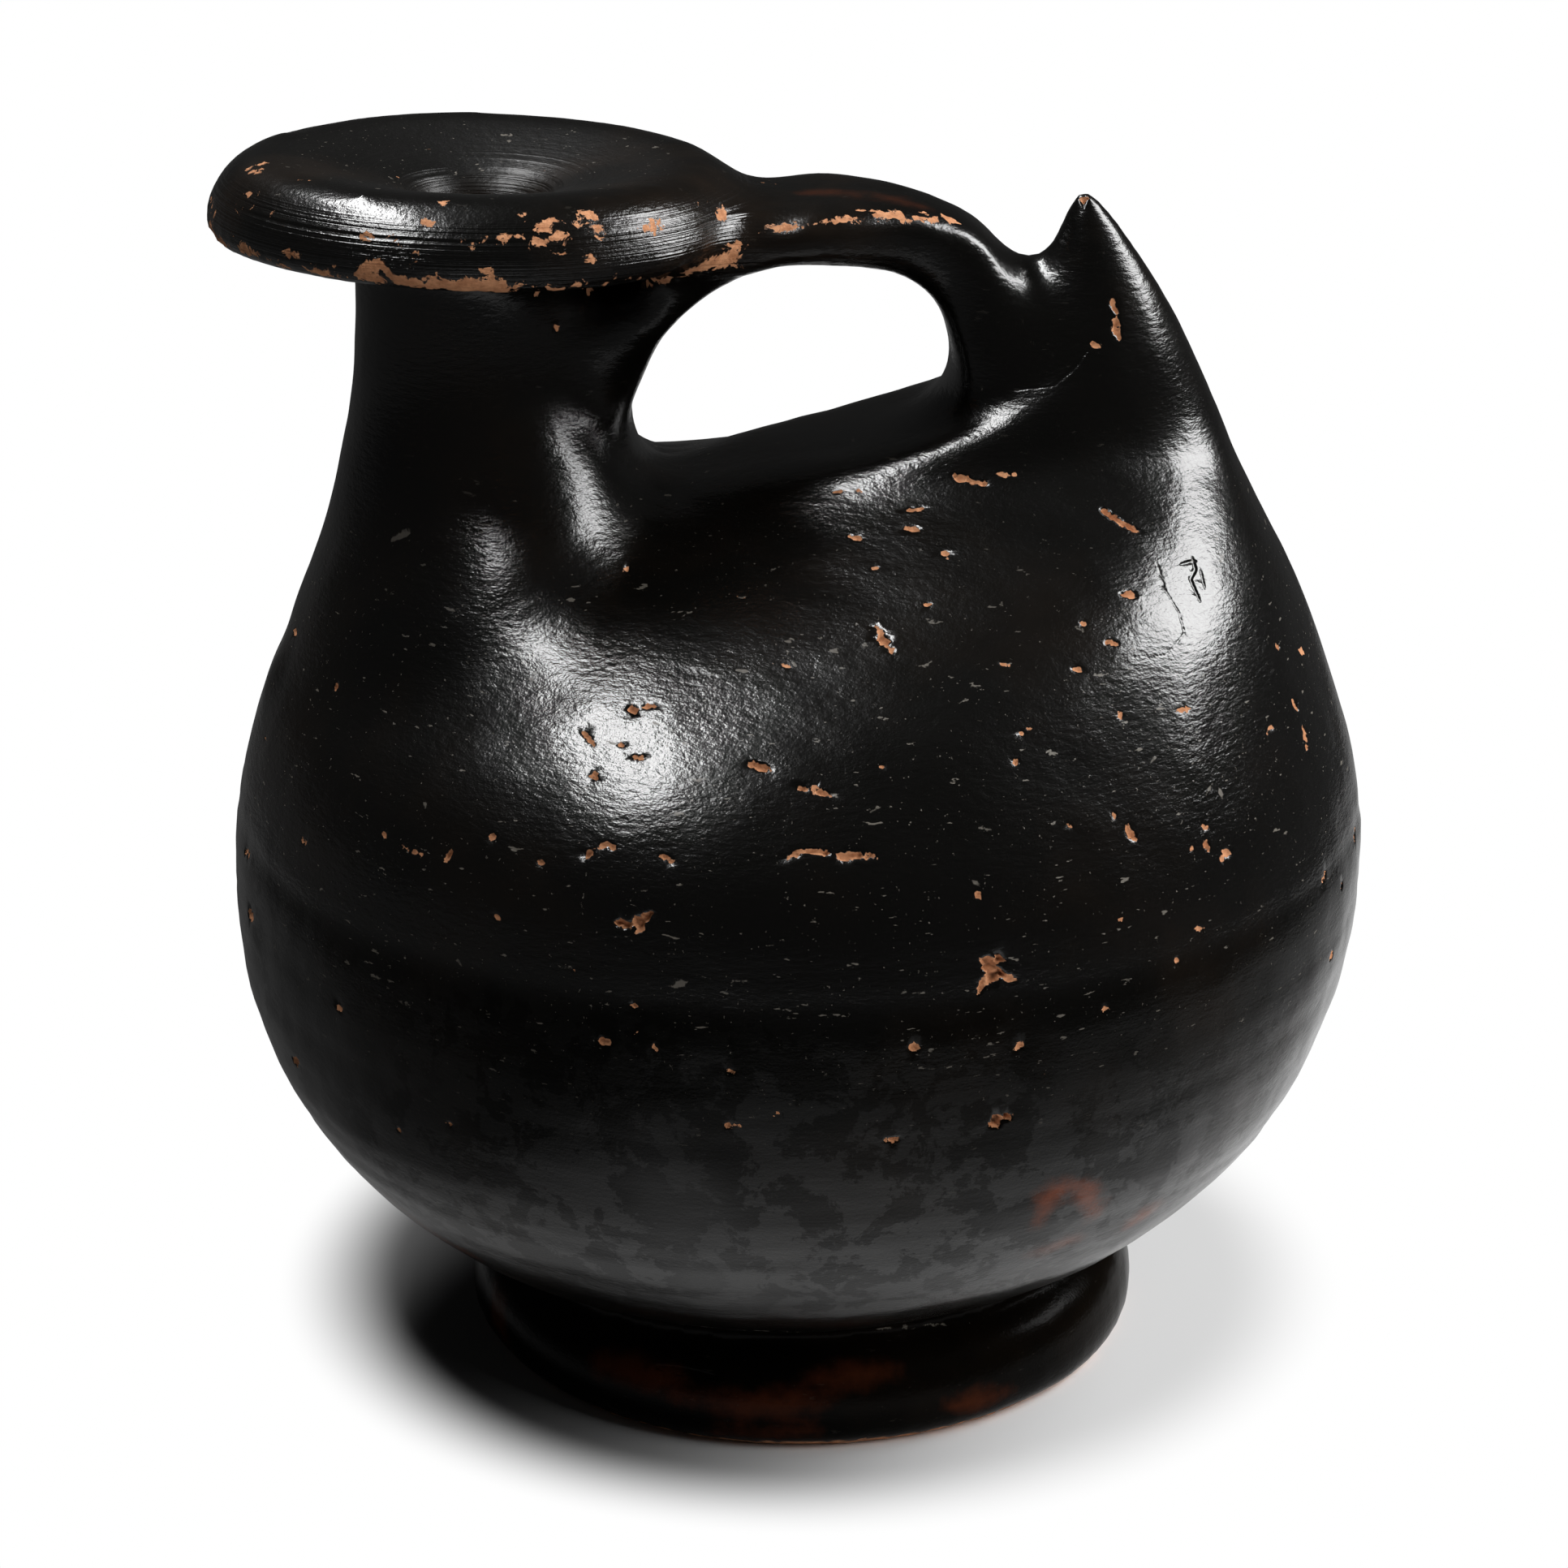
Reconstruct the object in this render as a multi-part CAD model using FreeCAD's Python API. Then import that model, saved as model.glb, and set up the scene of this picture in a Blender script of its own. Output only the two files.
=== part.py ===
"""Askos: a small fired-clay pouring vessel with a drawn-up tail, a spouted neck and a strap handle.

Millimetres, +Z up. The spout is at -X and the tail at +X. The origin is the centre of the flat
ring that the foot rests on. The whole vessel is one hollow piece of clay.
"""

import FreeCAD
import Part
import math
import os

V = FreeCAD.Vector

# Foot: a turned ring with a recess beneath
FOOT_RADIUS = 40.7
FOOT_HEIGHT = 13.0
FOOT_BEVEL = 2.6
FOOT_JOINT_RADIUS = 0.835 * FOOT_RADIUS
FOOT_RING_WIDTH = 7.5
FOOT_RECESS_DEPTH = 8.0
FLOOR = 5.5

# Body: round up to the belly, then drawn up to the tail on one side
BELLY_RADIUS = 67.0
BELLY_Z = 61.0
BELLY_FULLNESS = 2.25
BODY_SHIFT = -2.1
TAIL_TIP_X = 0.478 * BELLY_RADIUS
TAIL_TIP_Z = 140.9
WALL = 4.2

# Neck and bore
NECK_X = -0.56 * BELLY_RADIUS
NECK_RADIUS = 14.1
NECK_STRAIGHT_Z = BELLY_Z + 0.764 * (TAIL_TIP_Z - BELLY_Z)
NECK_REACH = 0.928 * BELLY_RADIUS
NECK_WALL = 4.6
BORE_RADIUS = 6.0

# Rim: a broad lip, RIM_THICKNESS high, with a dish inside its crest
RIM_X = NECK_X + 0.7
RIM_Z = BELLY_Z + 0.934 * (TAIL_TIP_Z - BELLY_Z)
RIM_RADIUS = 31.2
RIM_THICKNESS = 9.5
CREST_RADIUS = 0.83 * RIM_RADIUS
DISH_RADIUS = 0.667 * RIM_RADIUS
DISH_DEPTH = 5.6
RIM_LEAN_DEGREES = 1.4
RIM_TIP_DEGREES = 2.5

# Strap handle at its broadest
STRAP_WIDTH = 25.5
STRAP_THICKNESS = 6.3

OVAL_POINTS = 20


def oval(left, right, half_width, egg=0.0):
    """Closed flat curve through two points of the plane of symmetry, half_width to each side."""
    points = []
    for i in range(OVAL_POINTS):
        a = 2 * math.pi * i / OVAL_POINTS
        along = 0.5 + 0.5 * math.cos(a)
        x = left[0] + (right[0] - left[0]) * along
        y = half_width * math.sin(a) * (1 - egg * math.cos(a))
        z = left[1] + (right[1] - left[1]) * along
        points.append(V(x, y, z))
    curve = Part.BSplineCurve()
    curve.interpolate(Points=points, PeriodicFlag=True)
    return Part.Wire([curve.toShape()])


def loft(stations, tip=None):
    """Smooth solid through (left, right, half_width, egg) stations, closed on a point if given."""
    sections = [oval(*station) for station in stations]
    if tip:
        sections.append(Part.Vertex(V(*tip)))
    return Part.makeLoft(sections, True, False)


def turned(curve_points, other_points):
    """Solid turned about Z, from a smooth curve and the straight lines that close it."""
    curve = Part.BSplineCurve()
    curve.interpolate([V(r, 0, z) for r, z in curve_points])
    closing = [curve_points[-1]] + other_points + [curve_points[0]]
    lines = Part.makePolygon([V(r, 0, z) for r, z in closing])
    face = Part.Face(Part.Wire([curve.toShape()] + lines.Edges))
    return face.revolve(V(0, 0, 0), V(0, 0, 1), 360)


def lower_stations(inset=0.0):
    """Level circles from the foot to the belly by the turned profile, moved in square to it."""
    n = BELLY_FULLNESS
    drop = BELLY_Z - FOOT_HEIGHT
    depth = drop / (1 - (FOOT_JOINT_RADIUS / BELLY_RADIUS) ** n) ** (1 / n)
    stations = []
    for share in (1.0, 0.9, 0.74, 0.52, 0.26, 0.0):
        down = drop * share / depth
        out = (1 - down ** n) ** (1 / n)
        spread = BELLY_RADIUS / depth * (down / out) ** (n - 1)
        across = inset / math.hypot(1, spread)
        radius = BELLY_RADIUS * out - across
        z = BELLY_Z - drop * share + across * spread
        shift = BODY_SHIFT * (0.25 + 0.75 * share)
        stations.append(((shift - radius, z), (shift + radius, z), radius, 0.0))
    return stations


# Upper body: each row gives the left point, the right point, the half-width and the egg shape of
# a section, with the belly's radius as 1 across and the rise from belly to tail's tip as 1 upwards
UPPER_SECTIONS = (
    ((-0.995, 0.12), (0.980, 0.13), 0.985, 0.00),
    ((-0.958, 0.24), (0.940, 0.25), 0.935, 0.00),
    ((-0.905, 0.33), (0.890, 0.37), 0.850, 0.02),
    ((-0.770, 0.415), (0.830, 0.48), 0.720, 0.04),
    ((-0.580, 0.484), (0.766, 0.585), 0.500, 0.06),
    ((-0.360, 0.553), (0.724, 0.668), 0.280, 0.06),
    ((-0.080, 0.610), (0.680, 0.750), 0.215, 0.02),
    ((0.170, 0.666), (0.632, 0.830), 0.165, 0.00),
    ((0.303, 0.760), (0.582, 0.900), 0.112, 0.00),
    ((0.403, 0.903), (0.530, 0.962), 0.060, 0.00),
    ((0.451, 0.982), (0.508, 0.984), 0.030, 0.00),
    ((0.467, 0.997), (0.491, 0.997), 0.014, 0.00),
)
HOLLOW_SECTION_COUNT = 6


def body_height(share):
    """Height at a share of the rise from the belly to the tail's tip."""
    return BELLY_Z + share * (TAIL_TIP_Z - BELLY_Z)


def upper_stations():
    """Sections above the belly, scaled from the table."""
    r = BELLY_RADIUS
    return [((left[0] * r, body_height(left[1])), (right[0] * r, body_height(right[1])), half * r, egg)
            for left, right, half, egg in UPPER_SECTIONS]


def make_body():
    """Outer skin of the body and tail as one solid."""
    return loft(lower_stations() + upper_stations(), (TAIL_TIP_X, 0, TAIL_TIP_Z))


def make_foot():
    """Turned foot: a flared ring with a soft shoulder and a bevelled edge, under the body."""
    r = FOOT_RADIUS
    h = FOOT_HEIGHT
    joint = FOOT_JOINT_RADIUS
    inside = h + 3
    curve = [(r - FOOT_BEVEL, 0), (r - 0.4 * FOOT_BEVEL, 0.09 * h), (r, 0.32 * h),
             (r - 0.06 * (r - joint), 0.6 * h), (r - 0.33 * (r - joint), 0.84 * h), (joint, h)]
    return turned(curve, [(joint - 2, inside), (0, inside), (0, 0)])


# Flare of the neck's base, from its foot up. For the left and the right side: how far a section
# reaches out as a share of the whole reach, and how far it drops below the straight part as a
# share of that part's height over the belly. Then what the half-width gains, in neck radii
NECK_FLARE = (
    ((1.00, 0.656), (0.70, 0.282), 1.163),
    ((0.78, 0.508), (0.54, 0.223), 0.780),
    ((0.45, 0.361), (0.42, 0.164), 0.426),
    ((0.23, 0.205), (0.31, 0.103), 0.191),
    ((0.07, 0.082), (0.09, 0.041), 0.043),
    ((0.00, -0.033), (0.00, -0.033), 0.000),
)


def neck_stations(rows, inset=0.0):
    """Sections of the neck's flare, scaled from the table and pulled in by the inset."""
    r = NECK_RADIUS - inset
    reach = NECK_REACH + NECK_X - NECK_RADIUS
    rise = NECK_STRAIGHT_Z - BELLY_Z
    return [((NECK_X - r - left * reach, NECK_STRAIGHT_Z - drop * rise),
             (NECK_X + r + right * reach, NECK_STRAIGHT_Z - fall * rise), r + side * NECK_RADIUS, 0.0)
            for (left, drop), (right, fall), side in rows]


def make_neck():
    """Neck, flaring at its base into the shoulder and the saddle."""
    r = NECK_RADIUS
    top = RIM_Z + 0.2 * RIM_THICKNESS
    return loft(neck_stations(NECK_FLARE) + [((NECK_X - r, top), (NECK_X + r, top), r, 0.0)])


def at_rim(shape):
    """Shape turned about its own axis, placed at the rim with the rim's small tilt."""
    lean = FreeCAD.Placement(V(RIM_X, 0, RIM_Z), FreeCAD.Rotation(V(0, 1, 0), RIM_LEAN_DEGREES))
    tip = FreeCAD.Placement(V(0, 0, 0), FreeCAD.Rotation(V(1, 0, 0), -RIM_TIP_DEGREES))
    shape.Placement = lean.multiply(tip)
    return shape


def make_rim():
    """Broad turned lip with a sharp lower edge and a rounded crest, without its dish."""
    r = RIM_RADIUS
    t = RIM_THICKNESS
    under = 0.16 * t
    curve = [(r - 0.7, 0), (r, 0.17 * t), (r - 0.7, 0.5 * t), (r - 2.8, 0.84 * t), (CREST_RADIUS, t)]
    return at_rim(turned(curve, [(0, t), (0, -under), (NECK_RADIUS, -under)]))


def make_dish():
    """Space inside the lip: a shallow dish that narrows to the bore and runs down into the neck."""
    t = RIM_THICKNESS
    above = t + 4
    below = -NECK_RADIUS
    curve = [(CREST_RADIUS, t), (DISH_RADIUS, t - 0.09 * DISH_DEPTH),
             (0.62 * DISH_RADIUS, t - 0.45 * DISH_DEPTH),
             (BORE_RADIUS + 1.5, t - 0.85 * DISH_DEPTH), (BORE_RADIUS, t - 1.6 * DISH_DEPTH)]
    return at_rim(turned(curve, [(BORE_RADIUS, below), (0, below), (0, above), (CREST_RADIUS, above)]))


# Handle from the neck to the tail: place along (from the neck's axis to the tail's tip), height
# (as in the body's table), heading in degrees, and the strap's width and thickness as shares
HANDLE_PATH = (
    (0.065, 0.613, 50, 0.39, 2.27),
    (0.180, 0.733, 52, 0.61, 2.11),
    (0.258, 0.823, 49, 0.84, 1.32),
    (0.354, 0.892, 34, 1.00, 0.92),
    (0.470, 0.949, 18, 1.00, 1.10),
    (0.590, 0.955, -2, 0.92, 1.19),
    (0.695, 0.942, -17, 0.67, 1.32),
    (0.792, 0.899, -42, 0.56, 1.54),
    (0.856, 0.812, -68, 0.70, 1.86),
    (0.905, 0.690, -78, 0.88, 2.60),
)


def strap_section(along, height, heading_degrees, width, thickness):
    """Rounded flat section of the strap, square to its path."""
    a = math.radians(heading_degrees)
    middle = V(NECK_X + along * (TAIL_TIP_X - NECK_X), 0, body_height(height))
    up = V(-math.sin(a), 0, math.cos(a))
    points = []
    for i in range(OVAL_POINTS):
        b = 2 * math.pi * i / OVAL_POINTS
        c, s = math.cos(b), math.sin(b)
        across = math.copysign(abs(c) ** 0.5, c) * width * STRAP_WIDTH / 2
        high = math.copysign(abs(s) ** 0.6, s) * thickness * STRAP_THICKNESS / 2
        points.append(middle + up * high + V(0, across, 0))
    curve = Part.BSplineCurve()
    curve.interpolate(Points=points, PeriodicFlag=True)
    return Part.Wire([curve.toShape()])


def make_handle():
    """Strap handle, springing from the neck under the rim and landing on the front of the tail."""
    return Part.makeLoft([strap_section(*row) for row in HANDLE_PATH], True, False)


def make_body_space():
    """Hollow inside the body, a wall's thickness in from its skin and closed under the tail."""
    w = WALL
    sink = 0.6 * w
    floor_z = FOOT_RECESS_DEPTH + FLOOR
    floor_radius = FOOT_JOINT_RADIUS - 2 * w
    floor = ((BODY_SHIFT - floor_radius, floor_z), (BODY_SHIFT + floor_radius, floor_z), floor_radius)
    top = [((left[0] + w, left[1] - sink), (right[0] - w, right[1] - sink), half - w, egg)
           for left, right, half, egg in upper_stations()[:HOLLOW_SECTION_COUNT]]
    return loft([floor] + lower_stations(w)[1:] + top)


def make_neck_space():
    """Hollow inside the neck, from the body's hollow up to the bore under the rim."""
    b = BORE_RADIUS
    sink = 1.5 * WALL
    stations = neck_stations(NECK_FLARE[:-1], NECK_WALL)
    left, right, half, egg = stations[0]
    base = ((left[0], left[1] - sink), (right[0], right[1] - sink), half, egg)
    throat = ((NECK_X - b, RIM_Z), (NECK_X + b, RIM_Z), b, 0.0)
    return loft([base] + stations[1:] + [throat])


def make_recess():
    """Shallow hollow turned under the foot."""
    r = FOOT_RADIUS - FOOT_RING_WIDTH
    return Part.makeCone(r, 0.85 * r, FOOT_RECESS_DEPTH)


def make_askos():
    """Whole vessel as one hollow solid."""
    outer = make_body().fuse([make_foot(), make_neck(), make_rim(), make_handle()])
    solid = outer.cut([make_body_space(), make_neck_space(), make_dish(), make_recess()])
    return solid.removeSplitter()


def main():
    os.makedirs("parts", exist_ok=True)
    askos = make_askos()
    box = askos.BoundBox
    print("solids", len(askos.Solids), "valid", askos.isValid(), "volume", round(askos.Volume))
    print("box", [round(v, 1) for v in (box.XMin, box.XMax, box.YMin, box.YMax, box.ZMin, box.ZMax)])
    askos.exportStep("parts/askos.step")


main()
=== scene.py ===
"""Askos in black gloss clay: the vessel's finished surface, in the place of its plain solid.

The scene is in metres in the solid's own frame, and the forms below are in millimetres until they
are put into a mesh. -X is the spout's side, +X the tail's, +Z is up.
"""

import bmesh
import bpy
import math
import numpy as np
from mathutils import Matrix, Vector
from mathutils.bvhtree import BVHTree
from mathutils.kdtree import KDTree


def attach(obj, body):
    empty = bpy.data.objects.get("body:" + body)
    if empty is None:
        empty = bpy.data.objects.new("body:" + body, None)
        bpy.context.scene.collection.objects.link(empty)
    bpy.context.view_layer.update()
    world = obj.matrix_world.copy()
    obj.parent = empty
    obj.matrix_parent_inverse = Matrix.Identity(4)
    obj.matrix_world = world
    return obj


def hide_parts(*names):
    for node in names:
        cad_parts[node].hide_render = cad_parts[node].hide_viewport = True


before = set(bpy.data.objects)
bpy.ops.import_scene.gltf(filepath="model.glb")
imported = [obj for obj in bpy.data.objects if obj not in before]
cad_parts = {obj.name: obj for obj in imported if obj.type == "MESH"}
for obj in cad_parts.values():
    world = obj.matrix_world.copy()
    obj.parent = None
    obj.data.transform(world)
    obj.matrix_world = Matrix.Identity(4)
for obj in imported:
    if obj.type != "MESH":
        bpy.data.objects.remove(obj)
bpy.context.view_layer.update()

MM = 0.001
RING = 144

# Foot, in millimetres as all forms: a turned ring with a recess beneath
FOOT_RADIUS, FOOT_HEIGHT, FOOT_BEVEL = 40.7, 13.0, 2.6
FOOT_JOINT_RADIUS = 0.835 * FOOT_RADIUS
FOOT_RING_WIDTH, FOOT_RECESS_DEPTH, FLOOR = 7.5, 8.0, 5.5

# Body: round up to the belly, then drawn up to the tail on one side
BELLY_RADIUS, BELLY_Z, BELLY_FULLNESS, BODY_SHIFT = 67.0, 61.0, 2.25, -2.1
TAIL_TIP = (0.478 * BELLY_RADIUS, 0.0, 140.9)
WALL = 4.2

# Neck and bore
NECK_X, NECK_RADIUS = -0.56 * BELLY_RADIUS, 14.1
NECK_STRAIGHT_Z = BELLY_Z + 0.764 * (TAIL_TIP[2] - BELLY_Z)
NECK_REACH, NECK_WALL, BORE_RADIUS = 0.928 * BELLY_RADIUS, 4.6, 6.0

# Rim: a broad lip with a dish inside its crest
RIM_X, RIM_Z = NECK_X + 0.7, BELLY_Z + 0.934 * (TAIL_TIP[2] - BELLY_Z)
RIM_RADIUS, RIM_THICKNESS = 31.2, 9.5
CREST_RADIUS, DISH_RADIUS, DISH_DEPTH = 0.83 * RIM_RADIUS, 0.667 * RIM_RADIUS, 5.6
RIM_LEAN, RIM_TIP = math.radians(1.4), math.radians(-2.5)

# Strap handle at its broadest
STRAP_WIDTH, STRAP_THICKNESS = 25.5, 6.3

# Upper body: each row gives the left point, the right point, the half-width and the egg shape of
# a section, with the belly's radius as 1 across and the rise from belly to tail's tip as 1 upwards
UPPER_SECTIONS = (
    ((-0.995, 0.12), (0.980, 0.13), 0.985, 0.00),
    ((-0.958, 0.24), (0.940, 0.25), 0.935, 0.00),
    ((-0.905, 0.33), (0.890, 0.37), 0.829, -0.03),
    ((-0.770, 0.415), (0.830, 0.48), 0.666, -0.12),
    ((-0.580, 0.484), (0.766, 0.585), 0.453, -0.14),
    ((-0.360, 0.553), (0.724, 0.668), 0.264, -0.06),
    ((-0.080, 0.610), (0.680, 0.750), 0.215, 0.02),
    ((0.170, 0.666), (0.632, 0.830), 0.165, 0.00),
    ((0.303, 0.760), (0.582, 0.900), 0.112, 0.00),
    ((0.403, 0.903), (0.530, 0.962), 0.060, 0.00),
    ((0.451, 0.982), (0.508, 0.984), 0.030, 0.00),
    ((0.467, 0.997), (0.491, 0.997), 0.014, 0.00),
)
HOLLOW_SECTION_COUNT = 6

# Flare of the neck's base, from its foot up. For the left and the right side: how far a section
# reaches out as a share of the whole reach, and how far it drops below the straight part as a
# share of that part's height over the belly. Then what the half-width gains, in neck radii
NECK_FLARE = (
    ((1.00, 0.656), (0.70, 0.282), 1.350),
    ((0.78, 0.508), (0.54, 0.223), 0.950),
    ((0.45, 0.361), (0.42, 0.164), 0.560),
    ((0.23, 0.205), (0.31, 0.103), 0.260),
    ((0.07, 0.082), (0.09, 0.041), 0.070),
    ((0.00, -0.033), (0.00, -0.033), 0.000),
)

# Handle from the neck to the tail: place along (from the neck's axis to the tail's tip), height
# (as in the body's table), heading in degrees, and the strap's width and thickness as shares
HANDLE_PATH = (
    (0.065, 0.613, 50, 0.39, 2.27),
    (0.180, 0.733, 52, 0.61, 2.11),
    (0.258, 0.823, 49, 0.84, 1.32),
    (0.354, 0.892, 34, 1.00, 0.92),
    (0.470, 0.949, 18, 1.00, 1.10),
    (0.590, 0.955, -2, 0.92, 1.19),
    (0.695, 0.942, -17, 0.67, 1.32),
    (0.792, 0.899, -42, 0.56, 1.54),
    (0.856, 0.812, -68, 0.70, 1.86),
    (0.905, 0.690, -78, 0.88, 2.60),
)

# Even mesh: size of its faces, rounds of smoothing and the share of faces kept in the hollow
VOXEL = 1.2
EVEN_ROUNDS, JOINT_ROUNDS, SHOULDER_ROUNDS, DISH_ROUNDS = 4, 28, 220, 12
JOINT_REACH, CREASE_PULL = 5, 0.05
HOLLOW_SHARE = 0.1

# Turned bands round the body: height of each edge, and how far the band above it is drawn in
BANDS = ((71.5, 0.10), (66.8, 0.16), (58.5, 0.07), (50.0, 0.09), (42.5, 0.06), (34.0, 0.08), (26.0, 0.06))

# Fuller shoulder on each side of the neck's foot: height, middle, direction, length and width
SWELL_HEIGHT, SWELL_MIDDLE, SWELL_WAY = 2.4, (-26, 26, 102), (0.38, 0.83, -0.40)
SWELL_LENGTH, SWELL_WIDTH = 14, 11

# Small lump of clay on the shoulder, under the rim
LUMP_HEIGHT, LUMP_MIDDLE, LUMP_WIDTH = 0.7, (-62, -8, 86), math.sqrt(7)

# Chips on the sides that the camera doesn't see
HIDDEN_CHIPS, HIDDEN_SEED = 46, 5


def spline(points, step):
    """Smooth curve through stacked points, resampled about every step; chord-length spacing."""
    p = np.asarray(points, float)
    shape = p.shape
    flat = p.reshape(shape[0], -1)
    gaps = np.linalg.norm((p[1:] - p[:-1]).reshape(shape[0] - 1, -1, shape[-1]), axis=2).mean(1)
    t = np.concatenate([[0], np.cumsum(gaps)])
    n = len(t)
    a = np.zeros((n, n))
    b = np.zeros_like(flat)
    a[0, 0] = a[-1, -1] = 1
    for i in range(1, n - 1):
        h0, h1 = t[i] - t[i - 1], t[i + 1] - t[i]
        a[i, i - 1:i + 2] = h0, 2 * (h0 + h1), h1
        b[i] = 6 * ((flat[i + 1] - flat[i]) / h1 - (flat[i] - flat[i - 1]) / h0)
    bend = np.linalg.solve(a, b)
    rows = []
    for i in range(n - 1):
        h = t[i + 1] - t[i]
        count = max(2, math.ceil(h / step))
        for k in range(count):
            u = h * k / count
            v = h - u
            rows.append((bend[i] * v ** 3 + bend[i + 1] * u ** 3) / (6 * h)
                        + (flat[i] / h - bend[i] * h / 6) * v + (flat[i + 1] / h - bend[i + 1] * h / 6) * u)
    rows.append(flat[-1])
    return np.array(rows).reshape((len(rows),) + shape[1:])


def oval(left, right, half_width, egg=0.0):
    """Ring of points through two points of the plane of symmetry, half_width to each side."""
    a = np.linspace(0, 2 * math.pi, RING, endpoint=False)
    along = 0.5 + 0.5 * np.cos(a)
    x = left[0] + (right[0] - left[0]) * along
    z = left[1] + (right[1] - left[1]) * along
    return np.stack([x, half_width * np.sin(a) * (1 - egg * np.cos(a)), z], 1)


def new_object(name, points, faces):
    """Mesh object from points in millimetres."""
    mesh = bpy.data.meshes.new(name)
    mesh.from_pydata([tuple(p) for p in np.asarray(points) * MM], [], faces)
    mesh.validate()
    item = bpy.data.objects.new(name, mesh)
    bpy.context.scene.collection.objects.link(item)
    return item


def skin(name, rings):
    """Closed skin over a stack of rings, with a fan at each end."""
    rows, count = rings.shape[:2]
    points = np.concatenate([rings.reshape(-1, 3), [rings[0].mean(0), rings[-1].mean(0)]])
    first, last = rows * count, rows * count + 1
    faces = []
    for k in range(count):
        m = (k + 1) % count
        faces.append((first, m, k))
        faces.append((last, (rows - 1) * count + k, (rows - 1) * count + m))
        for i in range(rows - 1):
            faces.append((i * count + k, i * count + m, (i + 1) * count + m, (i + 1) * count + k))
    return new_object(name, points, faces)


def loft(name, stations, tip=None, step=1.5):
    """Skin through (left, right, half_width, egg) stations, closed close to a point if given."""
    rings = [oval(*station) for station in stations]
    if tip:
        rings.append(np.tile(np.array(tip), (RING, 1)) + 0.02 * (rings[-1] - rings[-1].mean(0)))
    return skin(name, spline(rings, step))


def turned(name, before, curve, after=(), placement=None):
    """Skin turned about Z from straight lines, a smooth curve and straight lines, flat at its ends."""
    profile = list(before) + [tuple(p) for p in spline(curve, 0.6)] + list(after)
    a = np.linspace(0, 2 * math.pi, RING, endpoint=False)
    rings = np.array([np.stack([r * np.cos(a), r * np.sin(a), np.full(RING, z)], 1) for r, z in profile])
    if placement:
        turn = np.array(placement)
        rings = rings @ turn[:3, :3].T + turn[:3, 3]
    return skin(name, rings)


def height(share):
    """Height at a share of the rise from the belly to the tail's tip."""
    return BELLY_Z + share * (TAIL_TIP[2] - BELLY_Z)


def lower_stations(inset=0.0):
    """Level circles from the foot to the belly by the turned profile, moved in square to it."""
    n = BELLY_FULLNESS
    drop = BELLY_Z - FOOT_HEIGHT
    depth = drop / (1 - (FOOT_JOINT_RADIUS / BELLY_RADIUS) ** n) ** (1 / n)
    stations = []
    for share in (1.0, 0.9, 0.74, 0.52, 0.26, 0.0):
        down = drop * share / depth
        out = (1 - down ** n) ** (1 / n)
        spread = BELLY_RADIUS / depth * (down / out) ** (n - 1)
        across = inset / math.hypot(1, spread)
        radius = BELLY_RADIUS * out - across
        z = BELLY_Z - drop * share + across * spread
        shift = BODY_SHIFT * (0.25 + 0.75 * share)
        stations.append(((shift - radius, z), (shift + radius, z), radius, 0.0))
    return stations


def upper_stations():
    """Sections above the belly, scaled from the table."""
    r = BELLY_RADIUS
    return [((left[0] * r, height(left[1])), (right[0] * r, height(right[1])), half * r, egg)
            for left, right, half, egg in UPPER_SECTIONS]


def neck_stations(rows, inset=0.0):
    """Sections of the neck's flare, scaled from the table and pulled in by the inset."""
    r = NECK_RADIUS - inset
    reach = NECK_REACH + NECK_X - NECK_RADIUS
    rise = NECK_STRAIGHT_Z - BELLY_Z
    return [((NECK_X - r - left * reach, NECK_STRAIGHT_Z - drop * rise),
             (NECK_X + r + right * reach, NECK_STRAIGHT_Z - fall * rise), r + side * NECK_RADIUS, 0.0)
            for (left, drop), (right, fall), side in rows]


def strap_ring(along, up_share, heading_degrees, width, thickness):
    """Ring of the strap, square to its path."""
    a = math.radians(heading_degrees)
    middle = np.array([NECK_X + along * (TAIL_TIP[0] - NECK_X), 0, height(up_share)])
    up = np.array([-math.sin(a), 0, math.cos(a)])
    b = np.linspace(0, 2 * math.pi, RING, endpoint=False)
    c, s = np.cos(b), np.sin(b)
    across = np.sign(c) * np.abs(c) ** 0.5 * width * STRAP_WIDTH / 2
    high = np.sign(s) * np.abs(s) ** 0.6 * thickness * STRAP_THICKNESS / 2
    return middle + high[:, None] * up + across[:, None] * np.array([0, 1, 0])


def at_rim():
    """Place of the rim's own axis, with the rim's small tilt."""
    return (Matrix.Translation((RIM_X, 0, RIM_Z)) @ Matrix.Rotation(RIM_LEAN, 4, "Y")
            @ Matrix.Rotation(RIM_TIP, 4, "X"))


def outer_forms():
    """Closed skins that together make the outside of the vessel."""
    body = loft("body", lower_stations() + upper_stations(), TAIL_TIP)
    r, h, joint = FOOT_RADIUS, FOOT_HEIGHT, FOOT_JOINT_RADIUS
    foot = turned("foot", [], [
        (r - FOOT_BEVEL, 0), (r - 0.4 * FOOT_BEVEL, 0.09 * h), (r, 0.32 * h),
        (r - 0.06 * (r - joint), 0.6 * h), (r - 0.33 * (r - joint), 0.84 * h), (joint, h)],
        [(joint - 2, h + 3)])
    top = RIM_Z + 0.2 * RIM_THICKNESS
    r = NECK_RADIUS
    neck = loft("neck", neck_stations(NECK_FLARE) + [((NECK_X - r, top), (NECK_X + r, top), r, 0.0)])
    r, t = RIM_RADIUS, RIM_THICKNESS
    rim = turned("rim", [(NECK_RADIUS, -0.16 * t)], [
        (r - 0.7, 0), (r, 0.17 * t), (r - 0.7, 0.5 * t), (r - 2.8, 0.84 * t), (CREST_RADIUS, t)],
        placement=at_rim())
    handle = skin("handle", spline([strap_ring(*row) for row in HANDLE_PATH], 1.0))
    return [body, foot, neck, rim, handle]


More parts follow.
